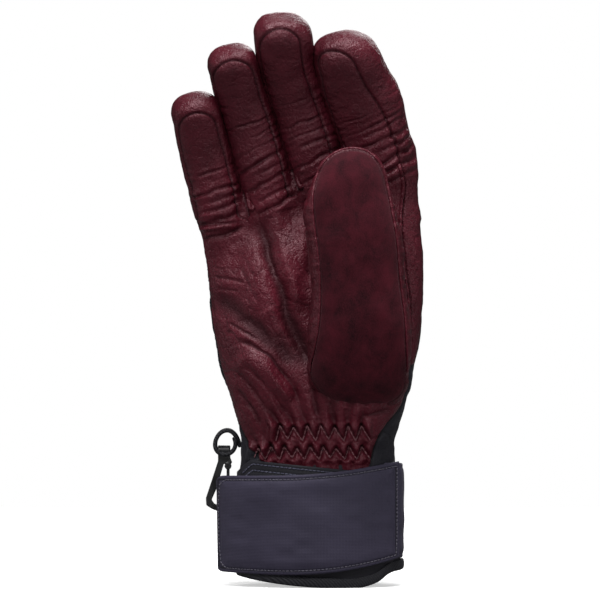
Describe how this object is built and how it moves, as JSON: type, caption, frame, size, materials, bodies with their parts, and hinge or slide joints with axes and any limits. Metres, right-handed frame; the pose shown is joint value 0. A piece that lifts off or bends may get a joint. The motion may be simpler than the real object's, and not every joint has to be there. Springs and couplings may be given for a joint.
{
  "type": "ski glove",
  "caption": "Insulated leather ski glove for the right hand, with bending fingers, a suede thumb patch, a peeling wrist strap and a snap hook on a webbing loop.",
  "frame": {"origin": "centre of the oval wrist opening, in the plane that the cuff's hem rests on", "axes": "+Z along the hand towards the fingertips, -Y out of the palm, +X towards the thumb side"},
  "size_m": [0.1194, 0.0768, 0.2752],
  "materials": {
    "leather": "supple goatskin with a soft sheen, dark burgundy",
    "suede": "brushed suede, dark burgundy",
    "softshell": "smooth navy softshell",
    "strap_softshell": "woven charcoal navy strap fabric",
    "insulation": "polyester wadding",
    "lining": "brushed tricot lining",
    "fleece": "fleece lining",
    "elastic": "flat elastic",
    "binding": "woven binding tape",
    "loop_fabric": "loop side of a touch fastener",
    "hook_fabric": "hook side of a touch fastener",
    "webbing": "narrow nylon webbing",
    "clip_plastic": "moulded black plastic"
  },
  "bodies": {
    "hand": {"palm_leather": "leather", "side_gusset_left": "softshell", "side_gusset_right": "softshell", "back_softshell": "softshell", "knuckle_leather": "leather", "hand_insulation": "insulation", "hand_liner": "lining", "wrist_elastic": "elastic", "finger_web": "leather", "cuff_shell": "softshell", "cuff_lining": "fleece", "hem_binding": "binding", "loop_panel": "loop_fabric", "strap_wrap": "strap_softshell", "webbing_loop": "webbing", "index_base_leather": "leather", "index_base_insulation": "insulation", "index_base_liner": "lining", "middle_base_leather": "leather", "middle_base_insulation": "insulation", "middle_base_liner": "lining", "ring_base_leather": "leather", "ring_base_insulation": "insulation", "ring_base_liner": "lining", "pinky_base_leather": "leather", "pinky_base_insulation": "insulation", "pinky_base_liner": "lining"},
    "index_tip": {"index_tip_leather": "leather", "index_tip_pad": "leather", "index_tip_insulation": "insulation", "index_tip_liner": "lining"},
    "middle_tip": {"middle_tip_leather": "leather", "middle_tip_pad": "leather", "middle_tip_insulation": "insulation", "middle_tip_liner": "lining"},
    "ring_tip": {"ring_tip_leather": "leather", "ring_tip_pad": "leather", "ring_tip_insulation": "insulation", "ring_tip_liner": "lining"},
    "pinky_tip": {"pinky_tip_leather": "leather", "pinky_tip_pad": "leather", "pinky_tip_insulation": "insulation", "pinky_tip_liner": "lining"},
    "thumb": {"thumb_suede": "suede", "thumb_leather": "leather", "thumb_insulation": "insulation", "thumb_liner": "lining"},
    "strap": {"strap_face": "strap_softshell", "strap_hook_patch": "hook_fabric"},
    "clip": {"clip_hook": "clip_plastic"},
    "gate": {"clip_gate": "clip_plastic"}
  },
  "joints": [
    {"name": "index_bend", "type": "hinge", "parent": "hand", "child": "index_tip", "pos_m": [0.02112, -0.00221, 0.22804], "axis": [0.95, 0, 0.3123], "range_deg": [-10, 60]},
    {"name": "middle_bend", "type": "hinge", "parent": "hand", "child": "middle_tip", "pos_m": [-0.00859, -0.00287, 0.22903], "axis": [0.9641, 0, 0.2656], "range_deg": [-10, 60]},
    {"name": "ring_bend", "type": "hinge", "parent": "hand", "child": "ring_tip", "pos_m": [-0.03265, -0.00292, 0.22262], "axis": [0.9694, 0, 0.2453], "range_deg": [-10, 60]},
    {"name": "pinky_bend", "type": "hinge", "parent": "hand", "child": "pinky_tip", "pos_m": [-0.05359, -0.00221, 0.20578], "axis": [0.9767, 0, 0.2147], "range_deg": [-10, 60]},
    {"name": "thumb_swing", "type": "hinge", "parent": "hand", "child": "thumb", "pos_m": [0.0183, -0.0367, 0.1113], "axis": [0, 1, 0], "range_deg": [-8, 40]},
    {"name": "strap_peel", "type": "hinge", "parent": "hand", "child": "strap", "pos_m": [0.03927, -0.01549, 0.0336], "axis": [0, 0, 1], "range_deg": [0, 150]},
    {"name": "clip_swing", "type": "hinge", "parent": "hand", "child": "clip", "pos_m": [-0.0465, 0.006, 0.065], "axis": [1, 0, 0], "range_deg": [-8, 75]},
    {"name": "gate_press", "type": "hinge", "parent": "clip", "child": "gate", "pos_m": [-0.0446, 0.006, 0.0576], "axis": [0, 1, 0], "range_deg": [0, 18], "stiffness_Nm_per_rad": 0.002, "springref_deg": -5.73}
  ]
}
